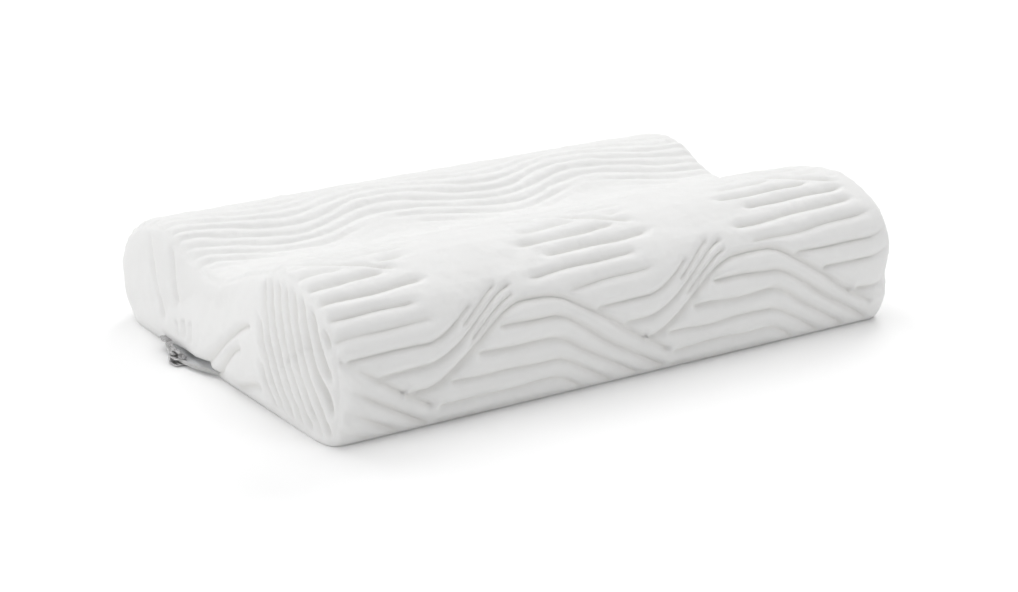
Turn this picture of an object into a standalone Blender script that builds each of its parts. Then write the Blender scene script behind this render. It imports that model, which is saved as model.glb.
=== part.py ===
import math
from collections import namedtuple

import bmesh
import bpy
import numpy as np
from mathutils import Matrix, Vector
from mathutils.kdtree import KDTree

# The pillow, in metres: X runs along its length, the high lobe is at -Y and it rests on z = 0
LENGTH = 0.494
DEPTH = 0.350
END_ROUND = 0.010
# The end panels are softly crowned, most at mid height
END_CROWN = 0.003
CROWN_TOP = 0.100
# The filled body and the zip that stands out of its left end share one centred box
BODY_X = 0.0076

# Outline across the pillow, from the front foot over both lobes to the rear foot
Knot = namedtuple("Knot", "from_front height")
OUTLINE = (
    Knot(0.0170, 0.0000),
    Knot(0.0050, 0.0150),
    Knot(0.0011, 0.0400),
    Knot(0.0007, 0.0640),
    Knot(0.0085, 0.0855),
    Knot(0.0340, 0.1020),
    Knot(0.0730, 0.1090),
    Knot(0.1300, 0.0955),
    Knot(0.1990, 0.0724),
    Knot(0.2360, 0.0795),
    Knot(0.2673, 0.0895),
    Knot(0.3000, 0.0880),
    Knot(0.3280, 0.0760),
    Knot(0.3455, 0.0560),
    Knot(0.3500, 0.0380),
    Knot(0.3455, 0.0150),
    Knot(0.3330, 0.0000),
)
# The outline closes below the base, and the base plane then cuts it flat
UNDER_BASE = 0.014
UNDER_INSET = 0.040

# Wave channels: puffed ridges between narrow sunk lines, one pitch apart
PITCH = 0.0162
SINK = 0.0027
LINE_STEP = 0.0012
# Levels are measured up the long panel from the front foot, at each hump's crest
LOWEST_CREST = 0.0864
ROW = 7 * PITCH
CLIMB = 3 * PITCH
LONGEST_DROP = 4 * PITCH
DROP_SLOPE = 0.66
DROP_ROUND = 0.020
RIBBON_WIDTH = 0.083
CLEARANCE = 0.35 * PITCH
FOOT_LEVEL = 0.004
# Where each repeat starts to climb and where it starts to drop, from the left end
Repeat = namedtuple("Repeat", "climb_start drop_start")
REPEATS = (
    Repeat(-0.117, -0.030),
    Repeat(0.071, 0.172),
    Repeat(0.257, 0.369),
    Repeat(0.445, 0.560),
)
STREAMS_BELOW = 9
STREAMS_ABOVE = 7
NESTED = 5
# The trough and the low lobe carry a finer, gentler wave
REAR_PITCH = 0.0140
REAR_WAVE = 0.024
REAR_CLIMB_LAG = 0.012
REAR_DROP_LEAD = 0.020
REAR_DROP_WIDTH = 0.112
REAR_LINES = 26
REAR_FOOT = 0.010

# Lines on the end panels, in the panel's own plane
PANEL_STEPS = 90
PANEL_MARGIN = 0.006
BUNDLE_LINES = 6
BUNDLE_STEP = 0.0126
BUNDLE_TOP = (-0.064, 0.104)
BUNDLE_FOOT = (-0.118, 0.009)
BUNDLE_BEND = 0.006
PanelHump = namedtuple("PanelHump", "rear_y front_y foot rise")
PANEL_HUMPS = (
    PanelHump(0.066, -0.070, 0.004, 0.053),
    PanelHump(0.036, -0.080, 0.000, 0.040),
    PanelHump(0.006, -0.092, -0.002, 0.027),
    PanelHump(-0.026, -0.106, -0.004, 0.015),
)
PanelSlant = namedtuple("PanelSlant", "top_y top_z foot_y foot_z")
PANEL_SLANTS = (
    PanelSlant(0.122, 0.068, 0.086, 0.024),
    PanelSlant(0.138, 0.060, 0.104, 0.018),
)
# The rim seam lies on the rounded rim, drawn in towards the middle of the panel
SEAM_INSET = 0.29 * END_ROUND
SEAM_AIM = (0.0, 0.045)

# The meshed body
FINE_CELL = 0.003
BODY_TRIANGLES = 9800
BASE_FADE = 0.010

# The end of the zip that stands out under the left end's lower edge
ZIP_Y = 0.044
ZIP_HALF_RUN = 0.052
ZIP_OUT = 0.0125
ZIP_TUCK = 0.003
ZIP_HEIGHT = 0.0036
ZIP_STEPS = 33
TAPE_THICK = 0.0010
TAPE_INNER = 0.020
COIL_RADIUS = 0.0013
COIL_MARGIN = 0.008
MESH_GAP = 0.0004
SLIDER_PLATE = (0.0100, 0.0140, 0.0011)
SLIDER_CORNER = 0.0028
SLIDER_OFFSET = -0.0006
SLOT_HEIGHT = 0.0035
NOSE = (0.0030, 0.0034)
NOSE_PLACE = (-0.0032, 0.0046)
BRIDGE = (0.0024, 0.0098, 0.0036)
BRIDGE_SINK = 0.0004
BRIDGE_HOLE = (0.0040, 0.0056, 0.0024)
EDGE_SOFTENING = 0.00025
PULL_LENGTH = 0.034
PULL_THICK = 0.0010
PULL_EDGE = 0.0002
PULL_EYE = 0.0026
PULL_RIM = 0.0015
PULL_NECK = 0.0034
PULL_TAB = (0.0078, 0.0095)
PULL_CORNER = 0.0012
PULL_TILT = math.radians(3.0)
PULL_SWING = math.radians(-12.0)


def material(name, color, roughness, metallic=0.0):
    made = bpy.data.materials.new(name)
    made.use_nodes = True
    shader = made.node_tree.nodes["Principled BSDF"]
    shader.inputs["Base Color"].default_value = (*color, 1.0)
    shader.inputs["Roughness"].default_value = roughness
    shader.inputs["Metallic"].default_value = metallic
    made.diffuse_color = (*color, 1.0)
    return made


def add_object(name, data, collection, surface=None):
    made = bpy.data.objects.new(name, data)
    collection.objects.link(made)
    if surface:
        made.data.materials.append(surface)
    return made


def evaluated_mesh(source):
    bpy.context.view_layer.update()
    ready = source.evaluated_get(bpy.context.evaluated_depsgraph_get())
    return bpy.data.meshes.new_from_object(ready)


def mesh_of(source, name, collection, surface=None):
    # Turns a curve or a modified object into a plain closed mesh object in its place
    data = evaluated_mesh(source)
    data.name = name
    shape = bmesh.new()
    shape.from_mesh(data)
    bmesh.ops.transform(shape, matrix=source.matrix_world, verts=shape.verts)
    bmesh.ops.remove_doubles(shape, verts=shape.verts, dist=1e-6)
    bmesh.ops.recalc_face_normals(shape, faces=shape.faces)
    shape.to_mesh(data)
    shape.free()
    data.materials.clear()
    bpy.data.objects.remove(source)
    return add_object(name, data, collection, surface)


def smoothstep(value):
    clamped = np.clip(value, 0.0, 1.0)
    return clamped * clamped * (3.0 - 2.0 * clamped)


# Outline across the pillow

def outline_curve(collection):
    curve = bpy.data.curves.new("outline", "CURVE")
    curve.dimensions = "2D"
    curve.fill_mode = "BOTH"
    curve.resolution_u = 10
    under = (Knot(DEPTH - UNDER_INSET, -UNDER_BASE), Knot(UNDER_INSET, -UNDER_BASE))
    knots = OUTLINE + under
    spline = curve.splines.new("BEZIER")
    spline.use_cyclic_u = True
    spline.bezier_points.add(len(knots) - 1)
    for point, knot in zip(spline.bezier_points, knots):
        point.co = (knot.from_front - DEPTH / 2, knot.height, 0.0)
        point.handle_left_type = "AUTO"
        point.handle_right_type = "AUTO"
    return add_object("outline", curve, collection)


def boundary_loop(data):
    # The rim of a flat filled curve, in order
    shape = bmesh.new()
    shape.from_mesh(data)
    bmesh.ops.remove_doubles(shape, verts=shape.verts, dist=1e-6)
    first = next(v for v in shape.verts if v.is_boundary)
    points = []
    came_by = None
    here = first
    while not points or here is not first:
        points.append((here.co.x, here.co.y))
        came_by = next(e for e in here.link_edges if e.is_boundary and e is not came_by)
        here = came_by.other_vert(here)
    shape.free()
    return np.array(points)


def outline_track(outline):
    # Arc length, y and z of the outline above the base, from front to rear
    data = evaluated_mesh(outline)
    loop = boundary_loop(data)
    bpy.data.meshes.remove(data)
    above = loop[:, 1] > -1e-5
    start = int(np.argmax(above & ~np.roll(above, 1)))
    track = np.roll(loop, -start, axis=0)[: int(np.sum(above))]
    if track[0, 0] > track[-1, 0]:
        track = track[::-1]
    steps = np.hypot(*np.diff(track, axis=0).T)
    return np.r_[0.0, np.cumsum(steps)], track[:, 0], track[:, 1]


# Sunk lines of the wave channels: x from the left end, level up the long panel

def climbed(x):
    return CLIMB * sum(smoothstep((x - repeat.climb_start) / RIBBON_WIDTH) for repeat in REPEATS[1:])


def dropped(x, start):
    along = np.clip(x - start, 0.0, None)
    rounded = np.where(along < DROP_ROUND, along ** 2 / (2 * DROP_ROUND), along - DROP_ROUND / 2)
    return DROP_SLOPE * rounded


def hump_edge(x, crest, repeat):
    # A hump's upper edge climbs to its crest and drops again
    climbing = CLIMB * (1.0 - smoothstep((x - repeat.climb_start) / RIBBON_WIDTH))
    falling = np.minimum(dropped(x, repeat.drop_start), LONGEST_DROP)
    return crest - climbing - falling


def upper_edge(x, crest):
    return np.max([hump_edge(x, crest, repeat) for repeat in REPEATS], axis=0)


def hump_lines(x, crest):
    # Each hump's edge, from where it rises above the one before to where its drop has run out
    lines = []
    before = np.zeros_like(x)
    for repeat in REPEATS:
        edge = hump_edge(x, crest, repeat)
        kept = (edge > before) & (dropped(x, repeat.drop_start) < LONGEST_DROP)
        lines.append((x[kept], edge[kept]))
        before = edge
    return lines


def nested_lines(x, crest):
    # Inside a hump the lines run level from its climbing edge and drop beside its falling edge
    lines = []
    before = np.zeros_like(x)
    spent = np.full(x.shape, True)
    for repeat in REPEATS:
        edge = hump_edge(x, crest, repeat)
        fall = dropped(x, repeat.drop_start)
        for nest in range(1, NESTED + 1):
            level = crest - nest * PITCH - fall
            inside = (level < edge - CLEARANCE) & (level > FOOT_LEVEL) & (fall < LONGEST_DROP)
            kept = inside & (edge > before) & ((level > before) | spent)
            lines.append((x[kept], level[kept]))
        before = edge
        spent = fall >= LONGEST_DROP
    return lines


def stream_lines(x):
    # The level blocks between two rows of humps climb three pitches at every ribbon. A line that
    # has climbed into the upper row drops beside that row's hump until it is back at its floor
    lines = []
    crest = LOWEST_CREST + ROW
    lower = upper_edge(x, LOWEST_CREST)
    upper = upper_edge(x, crest)
    floor = crest - LONGEST_DROP + CLEARANCE
    highest = np.argmax([hump_edge(x, crest, repeat) for repeat in REPEATS], axis=0)
    fall = dropped(x, np.array([repeat.drop_start for repeat in REPEATS])[highest])
    for index in range(-STREAMS_BELOW, STREAMS_ABOVE):
        level = LOWEST_CREST + (index - 2) * PITCH + climbed(x)
        inside = level > floor
        level = np.where(inside, level - fall, level)
        kept = (level > lower + CLEARANCE) & (~inside | (level > floor) & (level < upper - CLEARANCE))
        lines.append((x[kept], level[kept]))
    return lines


def rear_lines(x, girth):
    # Gentle waves over the trough and the low lobe, down to the rear foot
    wave = np.zeros_like(x)
    for repeat in REPEATS:
        rise = smoothstep((x - repeat.climb_start - REAR_CLIMB_LAG) / RIBBON_WIDTH)
        fall = smoothstep((x - repeat.drop_start + REAR_DROP_LEAD) / REAR_DROP_WIDTH)
        wave += REAR_WAVE * (rise - fall)
    upper = upper_edge(x, LOWEST_CREST + ROW)
    lines = []
    for index in range(REAR_LINES):
        level = girth - REAR_FOOT - index * REAR_PITCH + wave
        kept = (level > upper + CLEARANCE) & (level < girth - FOOT_LEVEL)
        lines.append((x[kept], level[kept]))
    return lines


def wrap_lines(girth):
    x = np.arange(0.0, LENGTH, LINE_STEP)
    lower = hump_lines(x, LOWEST_CREST) + nested_lines(x, LOWEST_CREST)
    return lower + stream_lines(x) + hump_lines(x, LOWEST_CREST + ROW) + rear_lines(x, girth)


def wrap_points(track):
    arc, y, z = track
    points = []
    for across, along in wrap_lines(arc[-1]):
        points.append(np.c_[across - LENGTH / 2, np.interp(along, arc, y), np.interp(along, arc, z)])
    return np.concatenate(points)


# Sunk lines of the end panels

def end_crown(y, z):
    across = np.clip(1.0 - (2.0 * y / DEPTH) ** 2, 0.0, 1.0)
    upward = np.clip(4.0 * z * (CROWN_TOP - z) / CROWN_TOP ** 2, 0.0, 1.0)
    return END_CROWN * np.sqrt(across) * upward


def panel_lines():
    lines = []
    along = np.linspace(0.0, 1.0, PANEL_STEPS)
    (top_y, top_z), (foot_y, foot_z) = BUNDLE_TOP, BUNDLE_FOOT
    for index in range(BUNDLE_LINES):
        y = top_y + (foot_y - top_y) * along - BUNDLE_BEND * np.sin(math.pi * along)
        lines.append((y - index * BUNDLE_STEP, top_z + (foot_z - top_z) * along))
    for hump in PANEL_HUMPS:
        y = hump.rear_y + (hump.front_y - hump.rear_y) * along
        lines.append((y, hump.foot + hump.rise * smoothstep(along)))
    for slant in PANEL_SLANTS:
        y = slant.top_y + (slant.foot_y - slant.top_y) * along
        lines.append((y, slant.top_z + (slant.foot_z - slant.top_z) * along))
    return lines


def panel_points(track):
    outline_y, outline_z = track[1:]
    nose, tail = np.argmin(outline_y), np.argmax(outline_y)
    over = slice(nose, tail + 1)
    points = []
    for y, z in panel_lines():
        top = np.interp(y, outline_y[over], outline_z[over])
        kept = (z > FOOT_LEVEL) & (z < top - PANEL_MARGIN) & (np.abs(y) < DEPTH / 2 - PANEL_MARGIN)
        for side in (-1, 1):
            x = side * (LENGTH / 2 + end_crown(y[kept], z[kept]))
            points.append(np.c_[x, y[kept], z[kept]])
    return np.concatenate(points)


def seam_points(track):
    # The seam that joins each end panel to the long panel runs round the rim
    arc, outline_y, outline_z = track
    rim = np.c_[outline_y, outline_z]
    inward = np.array(SEAM_AIM) - rim
    rim += SEAM_INSET * inward / np.linalg.norm(inward, axis=1)[:, None]
    fine = np.arange(0.0, arc[-1], LINE_STEP)
    rim = np.c_[np.interp(fine, arc, rim[:, 0]), np.interp(fine, arc, rim[:, 1])]
    x = LENGTH / 2 - SEAM_INSET
    return np.concatenate([np.c_[np.full(len(rim), side * x), rim] for side in (-1, 1)])


# The filled body

def body_blank(outline, collection):
    # The outline drawn out along X with rounded end rims
    curve = outline.data
    curve.extrude = LENGTH / 2 - END_ROUND
    curve.bevel_depth = END_ROUND
    curve.bevel_resolution = 3
    curve.offset = -END_ROUND
    outline.matrix_world = Matrix(((0, 0, 1, 0), (1, 0, 0, 0), (0, 1, 0, 0), (0, 0, 0, 1)))
    blank = mesh_of(outline, "blank", collection)
    remesh = blank.modifiers.new("Even cells", "REMESH")
    remesh.mode = "VOXEL"
    remesh.voxel_size = FINE_CELL
    return blank


def sink_channels(data, lines):
    tree = KDTree(len(lines))
    for index, point in enumerate(lines):
        tree.insert(point, index)
    tree.balance()
    count = len(data.vertices)
    place = np.empty(count * 3, dtype=np.float32)
    data.vertices.foreach_get("co", place)
    place = place.reshape(-1, 3)
    normal = np.empty(count * 3, dtype=np.float32)
    data.vertex_normals.foreach_get("vector", normal)
    normal = normal.reshape(-1, 3)
    near_end = smoothstep((np.abs(place[:, 0]) - LENGTH / 2) / (2 * END_ROUND) + 1.0)
    place[:, 0] += np.sign(place[:, 0]) * near_end * end_crown(place[:, 1], place[:, 2])
    apart = np.array([tree.find(point)[2] for point in place])
    puff = np.sqrt(1.0 - (1.0 - np.clip(apart / (PITCH / 2), 0.0, 1.0)) ** 2)
    fade = smoothstep(place[:, 2] / BASE_FADE)
    place -= normal * (SINK * (1.0 - puff) * fade)[:, None]
    data.vertices.foreach_set("co", place.ravel())
    data.update()


def cut_flat_base(data):
    shape = bmesh.new()
    shape.from_mesh(data)
    everything = shape.verts[:] + shape.edges[:] + shape.faces[:]
    bmesh.ops.bisect_plane(
        shape, geom=everything, dist=1e-5, plane_co=(0, 0, 0), plane_no=(0, 0, 1), clear_inner=True)
    bmesh.ops.edgeloop_fill(shape, edges=[edge for edge in shape.edges if edge.is_boundary])
    bmesh.ops.dissolve_degenerate(shape, edges=shape.edges, dist=1e-5)
    bmesh.ops.triangulate(shape, faces=[face for face in shape.faces if len(face.verts) > 3])
    bmesh.ops.recalc_face_normals(shape, faces=shape.faces)
    shape.to_mesh(data)
    shape.free()


def pillow_body(collection, helpers, surface):
    outline = outline_curve(helpers)
    track = outline_track(outline)
    lines = np.concatenate((wrap_points(track), panel_points(track), seam_points(track)))
    blank = body_blank(outline, helpers)
    data = evaluated_mesh(blank)
    bpy.data.objects.remove(blank)
    sink_channels(data, lines)
    body = add_object("pillow_body", data, collection)
    fewer = body.modifiers.new("Fewer faces", "DECIMATE")
    fewer.ratio = BODY_TRIANGLES / (2 * len(data.polygons))
    fewer.use_collapse_triangulate = True
    body.location.x = BODY_X
    body = mesh_of(body, "pillow_body", collection, surface)
    cut_flat_base(body.data)
    body.data.shade_smooth()
    return body


# The zip end under the left end's lower edge

def zip_edge(y):
    # X of the coil: a shallow arc that leaves the pillow's edge and comes back to it
    reach = np.clip(1.0 - ((y - ZIP_Y) / ZIP_HALF_RUN) ** 2, 0.0, 1.0)
    return BODY_X - LENGTH / 2 + ZIP_TUCK - (ZIP_OUT + ZIP_TUCK) * reach


def poly_curve(name, dimensions, outlines, closed):
    curve = bpy.data.curves.new(name, "CURVE")
    curve.dimensions = dimensions
    for points in outlines:
        spline = curve.splines.new("POLY")
        spline.use_cyclic_u = closed
        spline.points.add(len(points) - 1)
        for knot, point in zip(spline.points, points):
            knot.co = (*point, 1.0)
    return curve


def clear_of_body(piece, body, collection, helpers, surface):
    # Trims a piece back from the body, with the small gap that separate pieces keep
    cutter = add_object("body_clearance", body.data.copy(), helpers)
    cutter.display_type = "WIRE"
    cutter.hide_render = True
    grow = cutter.modifiers.new("Clearance", "DISPLACE")
    grow.strength = MESH_GAP
    grow.mid_level = 0.0
    trim = piece.modifiers.new("Clear of body", "BOOLEAN")
    trim.operation = "DIFFERENCE"
    trim.object = cutter
    return mesh_of(piece, piece.name, collection, surface)


def zip_tape(body, collection, helpers, surface):
    inner = BODY_X - LENGTH / 2 + TAPE_INNER
    run = np.linspace(ZIP_Y - ZIP_HALF_RUN, ZIP_Y + ZIP_HALF_RUN, ZIP_STEPS)
    edge = [(zip_edge(y) + COIL_RADIUS + MESH_GAP, y, 0.0) for y in run]
    rim = [(inner, run[0], 0.0)] + edge + [(inner, run[-1], 0.0)]
    curve = poly_curve("zip_tape", "2D", [rim], True)
    curve.fill_mode = "BOTH"
    curve.extrude = TAPE_THICK / 2
    blank = add_object("zip_tape_blank", curve, helpers)
    blank.location.z = ZIP_HEIGHT
    tape = mesh_of(blank, "zip_tape", helpers, surface)
    return clear_of_body(tape, body, collection, helpers, surface)


def zip_coil(body, collection, helpers, surface):
    half = ZIP_HALF_RUN - COIL_MARGIN
    run = np.linspace(ZIP_Y - half, ZIP_Y + half, ZIP_STEPS)
    curve = poly_curve("zip_coil", "3D", [[(zip_edge(y), y, ZIP_HEIGHT) for y in run]], False)
    curve.bevel_depth = COIL_RADIUS
    curve.bevel_resolution = 2
    curve.use_fill_caps = True
    blank = add_object("zip_coil_blank", curve, helpers)
    coil = mesh_of(blank, "zip_coil", helpers, surface)
    return clear_of_body(coil, body, collection, helpers, surface)


def block(name, size, centre, collection, corner=0.0):
    shape = bmesh.new()
    bmesh.ops.create_cube(shape, size=1.0)
    bmesh.ops.scale(shape, vec=size, verts=shape.verts)
    if corner:
        upright = [e for e in shape.edges if abs(e.verts[0].co.z - e.verts[1].co.z) > size[2] / 2]
        bmesh.ops.bevel(
            shape, geom=upright, offset=corner, offset_type="OFFSET", segments=4, profile=0.5, affect="EDGES")
    bmesh.ops.translate(shape, vec=centre, verts=shape.verts)
    data = bpy.data.meshes.new(name)
    shape.to_mesh(data)
    shape.free()
    return add_object(name, data, collection)


def combine(base, other, operation):
    step = base.modifiers.new(operation.title(), "BOOLEAN")
    step.operation = operation
    step.object = other
    other.display_type = "WIRE"
    other.hide_render = True


def zip_slider(collection, helpers, surface):
    # Two plates with the coil's slot between them, joined by the nose, and a bridge on top
    plate = SLIDER_PLATE[2]
    level = (SLOT_HEIGHT + plate) / 2
    top = SLOT_HEIGHT / 2 + plate
    slider = block("zip_slider", SLIDER_PLATE, (0, 0, -level), helpers, SLIDER_CORNER)
    upper = block("slider_upper", SLIDER_PLATE, (0, 0, level), helpers, SLIDER_CORNER)
    nose = block("slider_nose", (*NOSE, SLOT_HEIGHT + plate), (*NOSE_PLACE, 0), helpers)
    bridge = block("slider_bridge", BRIDGE, (0, 0, top + BRIDGE[2] / 2 - BRIDGE_SINK), helpers)
    hole = block("slider_hole", BRIDGE_HOLE, (0, 0, top + BRIDGE_HOLE[2] / 2), helpers)
    for other in (upper, nose, bridge):
        combine(slider, other, "UNION")
    combine(slider, hole, "DIFFERENCE")
    soften = slider.modifiers.new("Soft edges", "BEVEL")
    soften.width = EDGE_SOFTENING
    soften.segments = 2
    soften.limit_method = "ANGLE"
    slider = mesh_of(slider, "zip_slider", collection, surface)
    slider.location = (zip_edge(ZIP_Y) + SLIDER_OFFSET, ZIP_Y, ZIP_HEIGHT)
    return slider


def pull_outline():
    # From the eye along one side to the square tab, and back along the other side
    tab_wide, tab_long = PULL_TAB
    eye = PULL_EYE + PULL_RIM
    turn = np.linspace(math.pi, math.asin(PULL_NECK / 2 / eye), 12)
    half = [(eye * math.sin(a), eye * math.cos(a), 0.0) for a in turn]
    half.append((PULL_NECK / 2, PULL_LENGTH - tab_long - PULL_CORNER, 0.0))
    half.append((tab_wide / 2, PULL_LENGTH - tab_long, 0.0))
    half.append((tab_wide / 2, PULL_LENGTH - PULL_CORNER, 0.0))
    half.append((tab_wide / 2 - PULL_CORNER, PULL_LENGTH, 0.0))
    return half + [(-x, y, z) for x, y, z in reversed(half[1:])]


def zip_pull(collection, helpers, surface):
    turn = np.linspace(0.0, 2 * math.pi, 16, endpoint=False)
    eye = [(PULL_EYE * math.sin(a), PULL_EYE * math.cos(a), 0.0) for a in turn]
    curve = poly_curve("zip_pull", "2D", [pull_outline(), eye], True)
    curve.fill_mode = "BOTH"
    curve.extrude = PULL_THICK / 2 - PULL_EDGE
    curve.bevel_depth = PULL_EDGE
    curve.bevel_resolution = 0
    blank = add_object("zip_pull_blank", curve, helpers)
    # The eye goes round the rear foot of the slider's bridge
    foot = (BRIDGE_HOLE[1] + BRIDGE[1]) / 4
    above = ZIP_HEIGHT + SLOT_HEIGHT / 2 + SLIDER_PLATE[2] + BRIDGE_HOLE[2] / 2
    seat = Vector((zip_edge(ZIP_Y) + SLIDER_OFFSET, ZIP_Y + foot, above))
    turned = Matrix.Rotation(PULL_SWING, 4, "Z") @ Matrix.Rotation(PULL_TILT, 4, "X")
    blank.matrix_world = Matrix.Translation(seat) @ turned
    return mesh_of(blank, "zip_pull", collection, surface)


def collection_named(name):
    made = bpy.data.collections.new(name)
    bpy.context.scene.collection.children.link(made)
    return made


def main():
    for old in list(bpy.data.objects):
        bpy.data.objects.remove(old)
    pillow = collection_named("memory_foam_pillow")
    cutters = collection_named("cutters")
    knit = material("white_knit_cover", (0.86, 0.86, 0.85), 0.92)
    tape = material("white_zip_tape", (0.80, 0.81, 0.82), 0.85)
    metal = material("nickel", (0.62, 0.61, 0.60), 0.30, 1.0)
    body = pillow_body(pillow, cutters, knit)
    zip_tape(body, pillow, cutters, tape)
    zip_coil(body, pillow, cutters, tape)
    zip_slider(pillow, cutters, metal)
    zip_pull(pillow, cutters, metal)


main()
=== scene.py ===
import math

import bmesh
import bpy
import numpy as np
from mathutils import Matrix, Vector, noise
from mathutils.kdtree import KDTree


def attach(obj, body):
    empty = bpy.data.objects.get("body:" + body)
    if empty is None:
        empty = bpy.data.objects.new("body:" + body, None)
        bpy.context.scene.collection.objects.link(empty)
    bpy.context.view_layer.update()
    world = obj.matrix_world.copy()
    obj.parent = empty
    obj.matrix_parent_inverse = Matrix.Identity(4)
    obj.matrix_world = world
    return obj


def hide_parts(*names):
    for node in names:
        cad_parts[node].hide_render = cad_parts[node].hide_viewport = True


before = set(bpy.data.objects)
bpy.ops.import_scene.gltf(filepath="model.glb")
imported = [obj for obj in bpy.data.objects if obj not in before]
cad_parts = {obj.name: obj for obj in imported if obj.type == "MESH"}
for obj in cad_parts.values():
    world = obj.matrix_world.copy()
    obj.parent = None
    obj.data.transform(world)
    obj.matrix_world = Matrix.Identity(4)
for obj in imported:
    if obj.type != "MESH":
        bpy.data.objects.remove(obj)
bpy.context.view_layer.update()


# Small helpers

def placeObject(name, data):
    made = bpy.data.objects.new(name, data)
    bpy.context.scene.collection.objects.link(made)
    return made


def finalMesh(source):
    bpy.context.view_layer.update()
    ready = source.evaluated_get(bpy.context.evaluated_depsgraph_get())
    return bpy.data.meshes.new_from_object(ready)


def bakeInPlace(source, name):
    # modifiers, curve depth and placement all go into the mesh, the object stays at the origin
    data = finalMesh(source)
    data.transform(source.matrix_world)
    old = source.data
    bpy.data.objects.remove(source)
    if isinstance(old, bpy.types.Mesh):
        bpy.data.meshes.remove(old)
    data.name = name
    return placeObject(name, data)


def smoothstep(value):
    clamped = np.clip(value, 0.0, 1.0)
    return clamped * clamped * (3.0 - 2.0 * clamped)


def readVectors(items, field):
    values = np.empty(len(items) * 3, dtype=np.float32)
    items.foreach_get(field, values)
    return values.reshape(-1, 3).astype(np.float64)


# Camera at the photographed angle

photoView = dict(
    place=(-0.8994, -1.3852, 0.5768),
    aim=(0.0053, -0.0099, 0.0201),
    lens=78.97,
    clipEnd=30.0,
)


def makeCamera():
    data = bpy.data.cameras.new("photoCamera")
    data.lens = photoView["lens"]
    data.clip_end = photoView["clipEnd"]
    camera = placeObject("photoCamera", data)
    place = Vector(photoView["place"])
    camera.location = place
    camera.rotation_mode = "QUATERNION"
    camera.rotation_quaternion = (Vector(photoView["aim"]) - place).to_track_quat("-Z", "Y")
    bpy.context.scene.camera = camera


# White studio: large soft lights far enough away to light the floor evenly

studio = dict(
    world=0.15, backdrop=1.0,
    floorSize=7.0, floorDrop=0.0002, floorTone=(0.96, 0.96, 0.96),
    lights=dict(
        overhead=dict(place=(0.0, 0.0, 6.0), aim=(0.0, 0.0, 0.0), size=8.0, power=285.0),
        behindRight=dict(place=(4.5, 3.6, 3.9), aim=(0.0, 0.0, 0.0), size=4.2, power=165.0),
        behind=dict(place=(-1.5, 4.5, 4.2), aim=(0.0, 0.0, 0.0), size=4.2, power=80.0),
        lowLeft=dict(place=(-6.0, 0.4, 1.5), aim=(0.0, 0.0, 0.0), size=3.0, power=125.0),
        front=dict(place=(3.0, -5.1, 1.7), aim=(0.0, 0.0, 0.0), size=3.6, power=93.0),
    ),
)


def makeWorld():
    # the sky lights the pillow weakly, but the camera sees plain white beyond the floor
    bpy.context.scene.view_settings.view_transform = "Standard"
    world = bpy.data.worlds.new("studio")
    bpy.context.scene.world = world
    world.use_nodes = True
    nodes, links = world.node_tree.nodes, world.node_tree.links
    sky = nodes["Background"]
    sky.inputs["Color"].default_value = (1.0, 1.0, 1.0, 1.0)
    sky.inputs["Strength"].default_value = studio["world"]
    seen = nodes.new("ShaderNodeBackground")
    seen.inputs["Color"].default_value = (1.0, 1.0, 1.0, 1.0)
    seen.inputs["Strength"].default_value = studio["backdrop"]
    ray = nodes.new("ShaderNodeLightPath")
    pick = nodes.new("ShaderNodeMixShader")
    links.new(ray.outputs["Is Camera Ray"], pick.inputs["Fac"])
    links.new(sky.outputs["Background"], pick.inputs[1])
    links.new(seen.outputs["Background"], pick.inputs[2])
    links.new(pick.outputs["Shader"], nodes["World Output"].inputs["Surface"])


def makeLight(name, light):
    data = bpy.data.lights.new(name, "AREA")
    data.shape = "DISK"
    data.size = light["size"]
    data.energy = light["power"]
    lamp = placeObject(name, data)
    place = Vector(light["place"])
    lamp.location = place
    lamp.rotation_mode = "QUATERNION"
    lamp.rotation_quaternion = (Vector(light["aim"]) - place).to_track_quat("-Z", "Y")


def makeFloor():
    shape = bmesh.new()
    bmesh.ops.create_grid(shape, x_segments=1, y_segments=1, size=studio["floorSize"] / 2)
    bmesh.ops.translate(shape, vec=(0.0, 0.0, -studio["floorDrop"]), verts=shape.verts)
    data = bpy.data.meshes.new("floor")
    shape.to_mesh(data)
    shape.free()
    floor = placeObject("floor", data)
    paper = bpy.data.materials.new("whitePaper")
    paper.use_nodes = True
    shader = paper.node_tree.nodes["Principled BSDF"]
    shader.inputs["Base Color"].default_value = (*studio["floorTone"], 1.0)
    shader.inputs["Roughness"].default_value = 1.0
    shader.inputs["Specular IOR Level"].default_value = 0.0
    data.materials.append(paper)


# The pillow: its outline across, from the front foot over both lobes to the rear foot

pillow = dict(
    length=0.494, depth=0.350, endRound=0.010, centreX=0.0076,
    endCrown=0.003, crownTop=0.100,
    underBase=0.014, underInset=0.040,
    outline=(
        (0.0130, 0.0000), (0.0040, 0.0135), (0.0011, 0.0400), (0.0007, 0.0640), (0.0085, 0.0855),
        (0.0340, 0.1020), (0.0730, 0.1090), (0.1300, 0.0955), (0.1990, 0.0724), (0.2360, 0.0795),
        (0.2673, 0.0895), (0.3000, 0.0880), (0.3280, 0.0760), (0.3455, 0.0560), (0.3500, 0.0380),
        (0.3455, 0.0150), (0.3330, 0.0000)),
    outlineCuts=16, rimCuts=4, cell=0.004, weld=1e-6, baseWeld=1e-5,
    baseFade=0.010, footLevel=0.004, firstLevel=0.003, endFacing=0.72,
    fill=0.95,
)

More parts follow.
